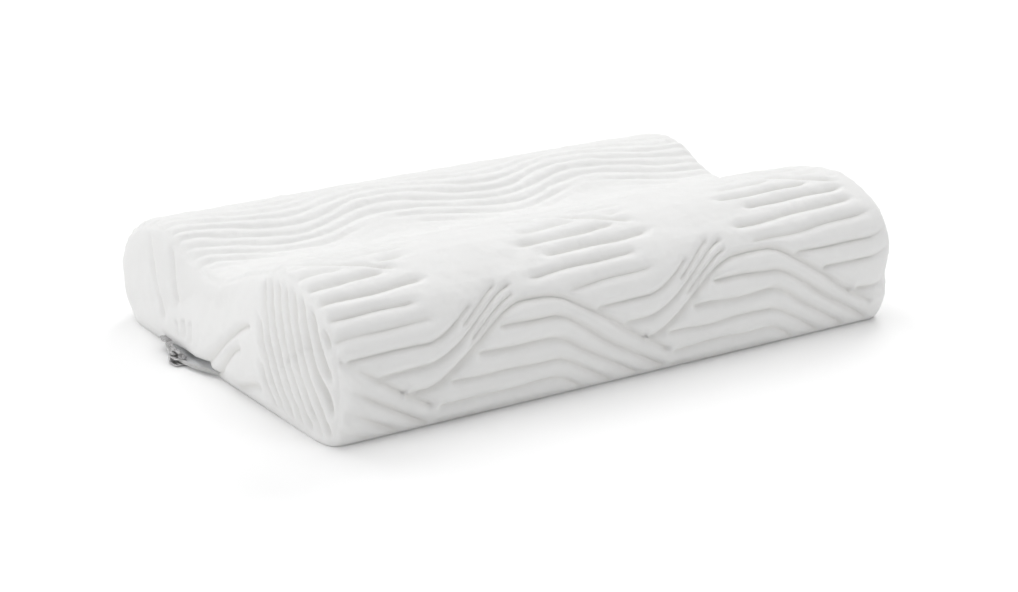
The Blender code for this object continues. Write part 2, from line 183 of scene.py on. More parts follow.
# Wave channels. Levels run up the long panel, from firstLevel at the front foot
waves = dict(
    pitch=0.0162, sink=0.0040, swell=0.92, step=0.0012,
    lowestCrest=0.0864, rowPitches=7, climbPitches=3, dropPitches=4,
    dropSlope=0.66, dropRound=0.020, ribbonWidth=0.083, clearance=0.28,
    repeats=((-0.117, -0.030), (0.071, 0.172), (0.257, 0.369), (0.468, 0.583)),
    nested=5, nestShare=0.90,
    ribbonPitch=0.013, ribbonSway=0.5, ribbonClearance=0.35,
    ribbons=((2.0, -1.5, 0.50), (1.0, -1.5, 0.94), (1.5, 0.34, 0.80), (0.5, 0.40, 0.94)),
    blockSteps=(
        (0.010, 1.0), (0.002, 1.0), (0.024, 1.0), (0.010, 1.0),
        (0.020, 0.75), (0.032, 0.55), (0.044, 0.40)),
    blockRise=0.04, blockStart=0.002, blockOver=0.004,
    blockOffsets=(-0.0032, 0.0002, 0.0072, 0.0072), ribbonOffsets=(0.0, 0.0, 0.0, 0.0085),
    fewestPoints=4, taper=0.006, fadeIntoRibbon=0.013, tipDepth=0.12,
    sway=(0.0007, 0.021, 0.0005, 0.009), swayTurns=(1.7, 2.9),
    edgeDepth=1.35, ribbonDepth=1.15, upperDepth=1.0,
    fadeFrom=0.160, fadeTo=0.196, highDepth=0.12, rightFade=(0.008, 0.034), rightDepth=0.35,
    cornerFade=(0.010, 0.034), cornerLevel=(0.060, 0.080), cornerDepth=0.30,
    lump=((0.00075, 0.034), (0.00068, 0.0125), (0.00032, 0.0052)),
    gather=0.40, gatherReach=0.005,
)
waves["row"] = waves["rowPitches"] * waves["pitch"]
waves["climb"] = waves["climbPitches"] * waves["pitch"]
waves["longestDrop"] = waves["dropPitches"] * waves["pitch"]

# Gentler, finer waves over the trough and the low lobe, faint in the trough
rearWaves = dict(
    pitch=0.0112, wave=0.020, firstTop=-0.006, repeat=0.186, fallShare=0.56, lines=32, foot=0.010,
    depth=0.42, taper=0.012, troughDepth=0.06, troughEnd=0.298, troughFade=0.014,
    frontDepth=0.46, endFade=(0.006, 0.022), frontFrom=0.188, frontTo=0.272, frontFade=0.016,
    plainRise=0.030, plainCentre=0.166, plainRepeat=0.200, plainWidth=0.055)

# Lines on the end panels: y and height in the panel's own plane
panelLines = dict(
    steps=90, margin=0.006, bundleDepth=1.40,
    bundle=dict(
        lines=11, step=0.0112, top=(-0.034, 0.106), foot=(-0.086, 0.004), bend=0.004,
        edgeTop=(-0.073, 0.095), edgeSlope=0.15),
    humps=((0.030, -0.066, 0.006, 0.054), (0.006, -0.052, 0.004, 0.036), (-0.018, -0.080, 0.002, 0.018)),
    slants=(
        (0.119, 0.088, 0.078, 0.022), (0.084, 0.084, 0.062, 0.040), (0.048, 0.033, 0.043, 0.021),
        (0.037, 0.035, 0.032, 0.019), (0.059, 0.030, 0.055, 0.018)),
    humpDepth=1.25, slantDepth=0.62, slantPitch=0.009, fade=0.12, tip=0.2,
)
# Over the zip the cover's lower edge is drawn in and stands clear of the floor
zipGap = dict(centreY=0.037, halfRun=0.041, height=0.0095, inward=0.011, fromEnd=0.030)

rimSeam = dict(inset=0.0029, aim=(0.0, 0.045), depth=0.34, pitch=0.010)


def outlineCurve():
    curve = bpy.data.curves.new("pillowOutline", "CURVE")
    curve.dimensions = "2D"
    curve.fill_mode = "BOTH"
    curve.resolution_u = pillow["outlineCuts"]
    depth, low = pillow["depth"], -pillow["underBase"]
    under = ((depth - pillow["underInset"], low), (pillow["underInset"], low))
    knots = pillow["outline"] + under
    spline = curve.splines.new("BEZIER")
    spline.use_cyclic_u = True
    spline.bezier_points.add(len(knots) - 1)
    for point, (fromFront, height) in zip(spline.bezier_points, knots):
        point.co = (fromFront - depth / 2, height, 0.0)
        point.handle_left_type = "AUTO"
        point.handle_right_type = "AUTO"
    return placeObject("pillowOutline", curve)


def outlineTrack(outline):
    # level, y and z along the outline above the base, front foot to rear foot
    data = finalMesh(outline)
    shape = bmesh.new()
    shape.from_mesh(data)
    bmesh.ops.remove_doubles(shape, verts=shape.verts, dist=pillow["weld"])
    first = next(v for v in shape.verts if v.is_boundary)
    loop, here, cameBy = [], first, None
    while not loop or here is not first:
        loop.append((here.co.x, here.co.y))
        cameBy = next(e for e in here.link_edges if e.is_boundary and e is not cameBy)
        here = cameBy.other_vert(here)
    shape.free()
    bpy.data.meshes.remove(data)
    loop = np.array(loop)
    above = loop[:, 1] > -pillow["baseWeld"]
    start = int(np.argmax(above & ~np.roll(above, 1)))
    track = np.roll(loop, -start, axis=0)[: int(np.sum(above))]
    if track[0, 0] > track[-1, 0]:
        track = track[::-1]
    steps = np.hypot(*np.diff(track, axis=0).T)
    return pillow["firstLevel"] + np.r_[0.0, np.cumsum(steps)], track[:, 0], track[:, 1]


# Sunk lines of the channels, each as x from the left end, level up the long panel and depth

def dropped(x, start):
    along = np.clip(x - start, 0.0, None)
    turn = waves["dropRound"]
    rounded = np.where(along < turn, along ** 2 / (2 * turn), along - turn / 2)
    return waves["dropSlope"] * rounded


def humpEdge(x, crest, repeat):
    climbStart, dropStart = repeat
    climbing = waves["climb"] * (1.0 - smoothstep((x - climbStart) / waves["ribbonWidth"]))
    falling = np.minimum(dropped(x, dropStart), waves["longestDrop"])
    return crest - climbing - falling


def upperEdge(x, crest):
    return np.max([humpEdge(x, crest, repeat) for repeat in waves["repeats"]], axis=0)


def sway(x, seed):
    # the knitted lines wander a little
    wide, wideRun, fine, fineRun = waves["sway"]
    wideTurn, fineTurn = waves["swayTurns"]
    return wide * np.sin(x / wideRun + wideTurn * seed) + fine * np.sin(x / fineRun + fineTurn * seed)


def keepRuns(lines, x, level, depth, kept, taper, pitch=waves["pitch"]):
    # cuts a line to its kept stretches, each shallower towards its ends
    depth = np.broadcast_to(depth, x.shape)
    index = np.flatnonzero(kept)
    for run in np.split(index, np.flatnonzero(np.diff(index) > 1) + 1):
        if len(run) < waves["fewestPoints"]:
            continue
        across, up = x[run], level[run]
        travelled = np.r_[0.0, np.cumsum(np.hypot(np.diff(across), np.diff(up)))]
        left = travelled if run[0] > 0 else np.full(len(run), 1.0)
        right = travelled[-1] - travelled if run[-1] < len(x) - 1 else np.full(len(run), 1.0)
        ends = smoothstep(np.minimum(left, right) / taper)
        tapered = depth[run] * (waves["tipDepth"] + (1.0 - waves["tipDepth"]) * ends)
        lines.append((across, up, tapered, np.full(len(run), pitch / 2)))


def fadeUp(level):
    # lines get faint over the crown of the high lobe
    span = waves["fadeTo"] - waves["fadeFrom"]
    return 1.0 - (1.0 - waves["highDepth"]) * smoothstep((level - waves["fadeFrom"]) / span)


def fadeCorner(x, level):
    # and in the low corner beside the end seam, where the cover is stretched smooth
    near, far = waves["cornerFade"]
    low, high = waves["cornerLevel"]
    away = np.maximum(smoothstep((x - near) / (far - near)), smoothstep((level - low) / (high - low)))
    return waves["cornerDepth"] + (1.0 - waves["cornerDepth"]) * away


def fadeRight(x):
    # and towards the right end
    near, far = waves["rightFade"]
    away = smoothstep((pillow["length"] - x - near) / (far - near))
    return waves["rightDepth"] + (1.0 - waves["rightDepth"]) * away


def humpLines(x, crest):
    lines, before = [], np.zeros_like(x)
    for order, repeat in enumerate(waves["repeats"]):
        edge = humpEdge(x, crest, repeat)
        kept = (edge > before) & (dropped(x, repeat[1]) < waves["longestDrop"])
        depth = waves["edgeDepth"] * fadeCorner(x, edge) * fadeRight(x)
        keepRuns(lines, x, edge + sway(x, order), depth, kept, waves["taper"])
        before = edge
    return lines


def upperFall(x, repeat):
    return waves["lowestCrest"] + waves["row"] - dropped(x, repeat[1])


def upperFalls(x):
    # falling edges of the next row of humps, the only part of it that is drawn in
    lines = []
    foot = waves["lowestCrest"] + waves["row"] - waves["longestDrop"]
    for order, repeat in enumerate(waves["repeats"]):
        level = upperFall(x, repeat)
        kept = (level > foot) & (x > repeat[1])
        depth = waves["upperDepth"] * fadeUp(level)
        keepRuns(lines, x, level + sway(x, order), depth, kept, waves["fadeIntoRibbon"])
    return lines


def clearOfFalls(x, level, gap):
    # where a level lies away from all the falling edges of that row
    apart = [np.abs(level - upperFall(x, repeat)) for repeat in waves["repeats"]]
    return np.min(apart, axis=0) > gap


def nestedLines(x, crest):
    # level from the hump's climbing edge, then dropping beside its falling edge
    lines, before, spent = [], np.zeros_like(x), np.full(x.shape, True)
    gap = waves["clearance"] * waves["pitch"]
    for order, repeat in enumerate(waves["repeats"]):
        edge = humpEdge(x, crest, repeat)
        fall = dropped(x, repeat[1])
        for nest in range(1, waves["nested"] + 1):
            level = crest - nest * waves["pitch"] - fall
            inside = (level < edge - gap) & (level > pillow["footLevel"]) & (fall < waves["longestDrop"])
            kept = inside & (edge > before) & ((level > before) | spent)
            depth = waves["edgeDepth"] * waves["nestShare"] ** (nest - 1) * fadeCorner(x, level) * fadeRight(x)
            keepRuns(lines, x, level + sway(x, 3 * order + nest), depth, kept, waves["taper"])
        before, spent = edge, fall >= waves["longestDrop"]
    return lines


def blockLines(x):
    # nearly level rows between the ribbons, upwards from about the humps' crest, each with its shift and depth
    lines = []
    lower = upperEdge(x, waves["lowestCrest"])
    starts = [climbStart for climbStart, _ in waves["repeats"]]
    gap = waves["clearance"] * waves["pitch"]
    for order, (ribbon, following) in enumerate(zip(starts, starts[1:] + [1.0])):
        blockLeft = ribbon + waves["ribbonWidth"] + waves["blockStart"]
        lowest = waves["lowestCrest"] + waves["blockOffsets"][order]
        for step, (shift, depth) in enumerate(waves["blockSteps"]):
            level = lowest + step * waves["pitch"] + waves["blockRise"] * (x - blockLeft)
            right = following + shift + waves["blockOver"]
            kept = (x > blockLeft + shift) & (x < right) & (level > lower + gap)
            kept &= clearOfFalls(x, level, gap)
            wandering = level + sway(x, 5 * order + step)
            keepRuns(lines, x, wandering, depth * fadeRight(x), kept, waves["fadeIntoRibbon"])
    return lines


def ribbonLines(x):
    # lines that sweep up beside the next hump: pitches above the foot of its climb, first and last place along it
    lines = []
    gap = waves["ribbonClearance"] * waves["clearance"] * waves["pitch"]
    lower = upperEdge(x, waves["lowestCrest"])
    for order, (climbStart, _) in enumerate(waves["repeats"]):
        along = (x - climbStart) / waves["ribbonWidth"]
        rise = waves["climb"] * smoothstep(along)
        floor = waves["lowestCrest"] - waves["climb"] + waves["ribbonOffsets"][order]
        for above, first, last in waves["ribbons"]:
            level = floor + above * waves["pitch"] + rise
            kept = (along > first) & (along < last) & (level > lower + gap)
            wandering = level + waves["ribbonSway"] * sway(x, order + above)
            depth = waves["ribbonDepth"] * fadeRight(x)
            keepRuns(lines, x, wandering, depth, kept, waves["taper"], waves["ribbonPitch"])
    return lines


def rearWave(x):
    # falls over a little more than half of each repeat, then rises
    along = (x - rearWaves["firstTop"]) / rearWaves["repeat"] % 1.0
    share = rearWaves["fallShare"]
    turn = np.where(along < share, along / share, 1.0 + (along - share) / (1.0 - share))
    return rearWaves["wave"] * 0.5 * np.cos(math.pi * turn)


def rearLines(x, girth):
    trough, deep = rearWaves["troughDepth"], rearWaves["depth"]
    # plain lens between the blocks of the low lobe
    aside = (x - rearWaves["plainCentre"]) / rearWaves["plainRepeat"]
    aside = (aside - np.round(aside)) * rearWaves["plainRepeat"] / rearWaves["plainWidth"]
    plainTop = rearWaves["troughEnd"] + rearWaves["plainRise"] * (1.0 - smoothstep(np.abs(aside)))
    lines = []
    for index in range(rearWaves["lines"]):
        level = girth - rearWaves["foot"] - index * rearWaves["pitch"] + rearWave(x) + sway(x, index)
        depth = trough + (deep - trough) * smoothstep((level - plainTop) / rearWaves["troughFade"])
        onSlope = smoothstep((level - rearWaves["frontFrom"]) / rearWaves["frontFade"])
        onSlope *= smoothstep((rearWaves["frontTo"] - level) / rearWaves["frontFade"])
        near, far = rearWaves["endFade"]
        fromEnd = np.minimum(x, pillow["length"] - x)
        onSlope *= smoothstep((fromEnd - near) / (far - near))
        depth = np.maximum(depth, rearWaves["frontDepth"] * onSlope)
        kept = (level > rearWaves["frontFrom"]) & (level < girth - pillow["footLevel"])
        keepRuns(lines, x, level, depth, kept, rearWaves["taper"], rearWaves["pitch"])
    return lines


def endCrown(y, z):
    across = np.clip(1.0 - (2.0 * y / pillow["depth"]) ** 2, 0.0, 1.0)
    upward = np.clip(4.0 * z * (pillow["crownTop"] - z) / pillow["crownTop"] ** 2, 0.0, 1.0)
    return pillow["endCrown"] * np.sqrt(across) * upward


def onLongPanel(lines, track):
    arc, outlineY, outlineZ = track
    runs = []
    for x, level, depth, width in lines:
        y, z = np.interp(level, arc, outlineY), np.interp(level, arc, outlineZ)
        runs.append((np.c_[x - pillow["length"] / 2, y, z], depth, width))
    return runs


def endPanelRuns(track):
    outlineY, outlineZ = track[1:]
    over = slice(np.argmin(outlineY), np.argmax(outlineY) + 1)
    along = np.linspace(0.0, 1.0, panelLines["steps"])
    bundle = panelLines["bundle"]
    (topY, topZ), (footY, footZ) = bundle["top"], bundle["foot"]
    flat = []
    for index in range(bundle["lines"]):
        y = topY + (footY - topY) * along - bundle["bend"] * np.sin(math.pi * along)
        across, z = y - index * bundle["step"], topZ + (footZ - topZ) * along
        inBundle = across < bundle["edgeTop"][0] - bundle["edgeSlope"] * (bundle["edgeTop"][1] - z)
        if inBundle.sum() > waves["fewestPoints"]:
            flat.append((across[inBundle], z[inBundle], panelLines["bundleDepth"], bundle["step"] / 2))
    for rearY, frontY, foot, rise in panelLines["humps"]:
        y, z = rearY + (frontY - rearY) * along, foot + rise * smoothstep(along)
        flat.append((y, z, panelLines["humpDepth"], waves["pitch"] / 2))
    for topY, topZ, footY, footZ in panelLines["slants"]:
        y = topY + (footY - topY) * along
        flat.append((y, topZ + (footZ - topZ) * along, panelLines["slantDepth"], panelLines["slantPitch"] / 2))
    runs = []
    for y, z, depth, width in flat:
        top = np.interp(y, outlineY[over], outlineZ[over])
        inner = np.abs(y) < pillow["depth"] / 2 - panelLines["margin"]
        kept = (z > pillow["footLevel"]) & (z < top - panelLines["margin"]) & inner
        for side in (-1, 1):
            x = side * (pillow["length"] / 2 + endCrown(y[kept], z[kept]))
            ends = np.minimum(along[:len(x)], along[:len(x)][::-1])
            fading = depth * smoothstep(panelLines["tip"] + ends / panelLines["fade"])
            runs.append((np.c_[x, y[kept], z[kept]], fading, np.full(len(x), width)))
    return runs


def seamRuns(track):
    arc, outlineY, outlineZ = track
    rim = np.c_[outlineY, outlineZ]
    inward = np.array(rimSeam["aim"]) - rim
    rim += rimSeam["inset"] * inward / np.linalg.norm(inward, axis=1)[:, None]
    fine = np.arange(arc[0], arc[-1], waves["step"])
    rim = np.c_[np.interp(fine, arc, rim[:, 0]), np.interp(fine, arc, rim[:, 1])]
    x = pillow["length"] / 2 - rimSeam["inset"]
    depth, width = np.full(len(rim), rimSeam["depth"]), np.full(len(rim), rimSeam["pitch"] / 2)
    return [(np.c_[np.full(len(rim), side * x), rim], depth, width) for side in (-1, 1)]


class SunkLines:
    # a family of lines: their points with direction and depth, to find the way from the cover to the nearest line

    def __init__(self, runs):
        self.points = np.concatenate([points for points, _, _ in runs])
        self.depth = np.concatenate([depth for _, depth, _ in runs])
        self.width = np.concatenate([width for _, _, width in runs])
        self.along = np.concatenate([self.directions(points) for points, _, _ in runs])
        self.tip = np.concatenate([np.r_[-1.0, np.zeros(len(points) - 2), 1.0] for points, _, _ in runs])
        self.tree = KDTree(len(self.points))
        for index, point in enumerate(self.points):
            self.tree.insert(point, index)
        self.tree.balance()

    @staticmethod
    def directions(points):
        steps = np.gradient(points, axis=0)
        return steps / np.linalg.norm(steps, axis=1)[:, None]

    def towards(self, places):
        nearest = np.array([self.tree.find(place)[1] for place in places])
        reach = self.points[nearest] - places
        along = np.einsum("ij,ij->i", reach, self.along[nearest])
        beyondTip = self.tip[nearest] * along < 0.0
        slide = np.where(beyondTip, 0.0, along)
        return reach - slide[:, None] * self.along[nearest], self.depth[nearest], self.width[nearest]


def pillowBlank(outline):
    curve = outline.data
    curve.extrude = pillow["length"] / 2 - pillow["endRound"]
    curve.bevel_depth = pillow["endRound"]
    curve.bevel_resolution = pillow["rimCuts"]
    curve.offset = -pillow["endRound"]
    outline.matrix_world = Matrix(((0, 0, 1, 0), (1, 0, 0, 0), (0, 1, 0, 0), (0, 0, 0, 1)))
    blank = bakeInPlace(outline, "pillowBlank")
    shape = bmesh.new()
    shape.from_mesh(blank.data)
    bmesh.ops.remove_doubles(shape, verts=shape.verts, dist=pillow["weld"])
    bmesh.ops.recalc_face_normals(shape, faces=shape.faces)
    shape.to_mesh(blank.data)
    shape.free()
    remesh = blank.modifiers.new("Even cells", "REMESH")
    remesh.mode = "VOXEL"
    remesh.voxel_size = pillow["cell"]
    return bakeInPlace(blank, "pillowBlank")


# The cover is blown up a little over the foam, which holds the long panel and lets the ends round out
coverCloth = dict(
    pressure=4.0, frames=20, mass=0.15, tension=8.0, bending=0.4, airDamping=3.0,
    mostGive=0.0065, longShare=0.10, endBand=0.026, pinBelow=0.003,
)


def settleCover(blank):
    rest = readVectors(blank.data.vertices, "co")
    pinned = blank.vertex_groups.new(name="onTheFloor")
    low = np.flatnonzero(rest[:, 2] < coverCloth["pinBelow"])
    pinned.add(low.tolist(), 1.0, "REPLACE")
    cloth = blank.modifiers.new("Cover under pressure", "CLOTH")
    settings = cloth.settings
    settings.use_pressure = True
    settings.uniform_pressure_force = coverCloth["pressure"]
    settings.mass = coverCloth["mass"]
    settings.tension_stiffness = settings.compression_stiffness = coverCloth["tension"]
    settings.bending_stiffness = coverCloth["bending"]
    settings.air_damping = coverCloth["airDamping"]
    settings.effector_weights.gravity = 0.0
    settings.vertex_group_mass = pinned.name
    cloth.collision_settings.use_collision = False
    scene = bpy.context.scene
    for number in range(1, coverCloth["frames"] + 1):
        scene.frame_set(number)
    settled = finalMesh(blank)
    give = readVectors(settled.vertices, "co") - rest
    bpy.data.meshes.remove(settled)
    blank.modifiers.remove(cloth)
    scene.frame_set(1)
    length = np.linalg.norm(give, axis=1)
    print("cover under pressure: moved up to", round(float(length.max()) * 1000, 1), "mm")
    give *= (np.minimum(length, coverCloth["mostGive"]) / np.maximum(length, 1e-9))[:, None]
    onEnd = smoothstep(1.0 - (pillow["length"] / 2 - np.abs(rest[:, 0])) / coverCloth["endBand"])
    return give * (coverCloth["longShare"] + (1.0 - coverCloth["longShare"]) * onEnd)[:, None]


def finerCells(blank, give):
    # one subdivision of the blank at rest and of the settled one, which share their vertices
    finer = blank.modifiers.new("Finer", "SUBSURF")
    finer.levels = finer.render_levels = 1
    resting = finalMesh(blank)
    rest = readVectors(blank.data.vertices, "co")
    blank.data.vertices.foreach_set("co", (rest + give).astype(np.float32).ravel())
    settled = finalMesh(blank)
    moved = readVectors(settled.vertices, "co") - readVectors(resting.vertices, "co")
    bpy.data.meshes.remove(settled)
    bpy.data.objects.remove(blank)
    return placeObject("pillowCover", resting), moved


def sinkChannels(data, families, moved):
    places = readVectors(data.vertices, "co")
    normals = readVectors(data.vertex_normals, "vector")
    half = pillow["length"] / 2
    nearEnd = smoothstep((np.abs(places[:, 0]) - half) / (2 * pillow["endRound"]) + 1.0)
    places[:, 0] += np.sign(places[:, 0]) * nearEnd * endCrown(places[:, 1], places[:, 2])
    sunk = np.zeros(len(places))
    draw = np.zeros_like(places)
    for family in families:
        reach, depth, width = family.towards(places)
        apart = np.linalg.norm(reach, axis=1)
        # the mesh is drawn in towards each line, so that the groove is narrow and even
        reach -= normals * np.einsum("ij,ij->i", reach, normals)[:, None]
        kept = waves["gather"] + (1.0 - waves["gather"]) * smoothstep(apart / waves["gatherReach"])
        rise = np.clip(apart * kept / width, 0.0, 1.0)
        puff = (1.0 - (1.0 - rise) ** 2) ** waves["swell"]
        deeper = depth * (1.0 - puff) > sunk
        sunk = np.where(deeper, depth * (1.0 - puff), sunk)
        draw = np.where(deeper[:, None], reach * ((1.0 - kept) * np.clip(depth, 0.0, 1.0))[:, None], draw)
    lumps = np.zeros(len(places))
    for size, run in waves["lump"]:
        lumps += size * np.array([noise.noise(Vector(place / run)) for place in places])
    places += draw
    fade = smoothstep(places[:, 2] / pillow["baseFade"])
    places += normals * (fade * (lumps * (1.0 - sunk) - waves["sink"] * sunk))[:, None]
    places += moved
    fromLeft = places[:, 0] + half
    gap = smoothstep(1.0 - np.abs(places[:, 1] - zipGap["centreY"]) / zipGap["halfRun"])
    gap *= smoothstep(1.0 - fromLeft / zipGap["fromEnd"]) * smoothstep(1.0 - places[:, 2] / zipGap["height"])
    places[:, 0] += zipGap["inward"] * gap
    data.vertices.foreach_set("co", places.astype(np.float32).ravel())
    data.update()
    return 1.0 - np.clip(sunk, 0.0, 1.0)


def cutFlatBase(data):
    shape = bmesh.new()
    shape.from_mesh(data)
    everything = shape.verts[:] + shape.edges[:] + shape.faces[:]
    weld = pillow["baseWeld"]
    bmesh.ops.bisect_plane(
        shape, geom=everything, dist=weld, plane_co=(0, 0, 0), plane_no=(0, 0, 1), clear_inner=True)
    bmesh.ops.edgeloop_fill(shape, edges=[edge for edge in shape.edges if edge.is_boundary])
    bmesh.ops.dissolve_degenerate(shape, edges=shape.edges, dist=weld)
    bmesh.ops.triangulate(shape, faces=[face for face in shape.faces if len(face.verts) > 4])
    bmesh.ops.recalc_face_normals(shape, faces=shape.faces)
    shape.to_mesh(data)
    shape.free()


def writePanelUv(data, track):
    # in metres: x and girth on the long panel, y and height on the end panels
    arc, outlineY, outlineZ = track
    tree = KDTree(len(arc))
    for index in range(len(arc)):
        tree.insert((0.0, outlineY[index], outlineZ[index]), index)
    tree.balance()
    places = readVectors(data.vertices, "co")
    girth = np.array([arc[tree.find((0.0, y, z))[1]] for _, y, z in places])
    corner = np.empty(len(data.loops), dtype=np.int32)
    data.loops.foreach_get("vertex_index", corner)
    size = np.empty(len(data.polygons), dtype=np.int32)
    data.polygons.foreach_get("loop_total", size)
    faceNormal = readVectors(data.polygons, "normal")
    onEnd = np.repeat(np.abs(faceNormal[:, 0]) > pillow["endFacing"], size)
    u = np.where(onEnd, places[corner, 1], places[corner, 0])
    v = np.where(onEnd, places[corner, 2], girth[corner])
    layer = data.uv_layers.new(name="knitUv")
    layer.data.foreach_set("uv", np.c_[u, v].astype(np.float32).ravel())


def makePillow():
    outline = outlineCurve()
    track = outlineTrack(outline)
    x = np.arange(0.0, pillow["length"], waves["step"])
    edges = humpLines(x, waves["lowestCrest"]) + upperFalls(x)
    fills = nestedLines(x, waves["lowestCrest"]) + blockLines(x) + ribbonLines(x) + rearLines(x, track[0][-1])
    families = (SunkLines(onLongPanel(edges, track) + seamRuns(track)),
                SunkLines(onLongPanel(fills, track) + endPanelRuns(track)))
    coarse = pillowBlank(outline)
    print("pillow blank:", len(coarse.data.vertices), "vertices")
    blank, moved = finerCells(coarse, settleCover(coarse))
    puff = sinkChannels(blank.data, families, moved)
    crest = blank.data.attributes.new("puff", "FLOAT", "POINT")
    crest.data.foreach_set("value", puff.astype(np.float32))
    cutFlatBase(blank.data)
    blank.data.transform(Matrix.Translation((pillow["centreX"], 0.0, 0.0)))
    writePanelUv(blank.data, track)
    blank.data.shade_smooth()
    blank.data.materials.clear()
    blank.data.materials.append(knitMaterial())
    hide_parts("pillow_body")
    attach(blank, "root")
    print("pillow cover:", len(blank.data.polygons), "faces")
    return blank


# The zip end under the left end's lower edge: its tape is sewn under the cover, the coil along its outer edge

zipper = dict(
    centreY=0.044, halfRun=0.052, out=0.0125, tuck=0.003, height=0.0036,
    tapeInner=0.020, tapeThick=0.0007, tapeWave=(0.0005, 0.0052), tapeBeat=0.6, tapeCells=(12, 96),
    coilGap=0.0016, coilHalf=0.044, coilRadius=0.00105, coilWire=0.00032, coilCuts=1, coilTurn=0.0014,
    pointsPerTurn=10,
)


def zipEdge(y):
    # x of the coil: a shallow arc that leaves the pillow's edge and comes back to it
    reach = np.clip(1.0 - ((y - zipper["centreY"]) / zipper["halfRun"]) ** 2, 0.0, 1.0)
    return pillow["centreX"] - pillow["length"] / 2 + zipper["tuck"] - (zipper["out"] + zipper["tuck"]) * reach


def makeZipTape():
    shape = bmesh.new()
    across, along = zipper["tapeCells"]
    bmesh.ops.create_grid(shape, x_segments=across, y_segments=along, size=0.5)
    inner = pillow["centreX"] - pillow["length"] / 2 + zipper["tapeInner"]
    rise, run = zipper["tapeWave"]
    for vert in shape.verts:
        y = zipper["centreY"] + 2 * vert.co.y * zipper["halfRun"]
        edge = zipEdge(y) + zipper["coilGap"]
        share = 0.5 - vert.co.x
        wave = rise * share * math.sin(y / run) * math.cos(zipper["tapeBeat"] * y / run)
        vert.co = (inner + (edge - inner) * share, y, zipper["height"] + wave)
    data = bpy.data.meshes.new("zipTapeWoven")
    shape.to_mesh(data)
    shape.free()
    tape = placeObject("zipTapeWoven", data)
    thick = tape.modifiers.new("Thickness", "SOLIDIFY")
    thick.thickness = zipper["tapeThick"]
    thick.offset = 0.0
    tape = bakeInPlace(tape, "zipTapeWoven")
    tape.data.shade_smooth()
    tape.data.materials.append(tapeMaterial())
    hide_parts("zip_tape")
    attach(tape, "root")
    return tape


def makeZipCoil():
    half = zipper["coilHalf"]
    count = int(2 * half / zipper["coilTurn"] * zipper["pointsPerTurn"])
    curve = bpy.data.curves.new("zipCoilWound", "CURVE")
    curve.dimensions = "3D"
    curve.bevel_depth = zipper["coilWire"]
    curve.bevel_resolution = zipper["coilCuts"]
    curve.use_fill_caps = True
    spline = curve.splines.new("POLY")
    spline.points.add(count - 1)
    for index, point in enumerate(spline.points):
        y = zipper["centreY"] - half + 2 * half * index / (count - 1)
        turn = 2 * math.pi * index / zipper["pointsPerTurn"]
        x = float(zipEdge(y)) + zipper["coilRadius"] * math.cos(turn)
        point.co = (x, y, zipper["height"] + zipper["coilRadius"] * math.sin(turn), 1.0)
    coil = bakeInPlace(placeObject("zipCoilWound", curve), "zipCoilWound")
    coil.data.shade_smooth()
    coil.data.materials.append(coilMaterial())
    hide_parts("zip_coil")
    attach(coil, "root")
    return coil


def dressZipMetal():
    metal = metalMaterial()
    for name in ("zip_slider", "zip_pull"):
        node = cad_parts[name]
        node.data.materials.clear()
        node.data.materials.append(metal)


# Node helpers: a value given to a socket is either a plain constant or another node's output

def feed(tree, socket, value):
    if isinstance(value, bpy.types.NodeSocket):
        tree.links.new(value, socket)
    else:
        socket.default_value = value


def addNode(tree, kind, sockets=None, **settings):
    node = tree.nodes.new("ShaderNode" + kind)
    for field, value in settings.items():
        setattr(node, field, value)
    for socket, value in (sockets or {}).items():
        feed(tree, node.inputs[socket], value)
    return node


def calculate(tree, operation, *values):
    return addNode(tree, "Math", dict(enumerate(values)), operation=operation).outputs["Value"]


def remap(tree, value, low, high, newLow, newHigh):
    sockets = {"Value": value, "From Min": low, "From Max": high, "To Min": newLow, "To Max": newHigh}
    return addNode(tree, "MapRange", sockets, interpolation_type="SMOOTHSTEP").outputs["Result"]


def newGroup(name, inputs, outputs):
    tree = bpy.data.node_groups.new(name, "ShaderNodeTree")
    for label, (kind, value) in inputs.items():
        socket = tree.interface.new_socket(name=label, in_out="INPUT", socket_type=kind)
        if value is not None:
            socket.default_value = value
    for label in outputs:
        tree.interface.new_socket(name=label, in_out="OUTPUT", socket_type="NodeSocketFloat")
    return tree, tree.nodes.new("NodeGroupInput").outputs, tree.nodes.new("NodeGroupOutput").inputs


threadBead = 0.35


def threadsGroup():
    # rounded threads in columns; Slant turns each row into the vees of a knit or the herringbone of a tape
    inputs = {
        "Vector": ("NodeSocketVector", None), "Column": ("NodeSocketFloat", 0.001),
        "Row": ("NodeSocketFloat", 0.001), "Slant": ("NodeSocketFloat", 1.0)}
    tree, given, result = newGroup("threads", inputs, ("Height",))
    split = addNode(tree, "SeparateXYZ", {"Vector": given["Vector"]}).outputs
    column = calculate(tree, "DIVIDE", split["X"], given["Column"])
    row = calculate(tree, "DIVIDE", split["Y"], given["Row"])
    middle = calculate(tree, "ABSOLUTE", calculate(tree, "SUBTRACT", calculate(tree, "FRACT", column), 0.5))
    slanted = calculate(tree, "ADD", row, calculate(tree, "MULTIPLY", middle, given["Slant"]))
    halfColumn = calculate(tree, "FRACT", calculate(tree, "MULTIPLY", column, 2.0))
    leg = calculate(tree, "SINE", calculate(tree, "MULTIPLY", halfColumn, math.pi))
    wave = calculate(tree, "COSINE", calculate(tree, "MULTIPLY", slanted, 2 * math.pi))
    bead = calculate(tree, "MULTIPLY_ADD", wave, threadBead, 1.0 - threadBead)
    tree.links.new(calculate(tree, "MULTIPLY", leg, bead), result["Height"])
    return tree


mottling = dict(detail=3.0, roughness=0.55, fineTimes=9.0, fineDetail=2.0, fineRoughness=0.6)


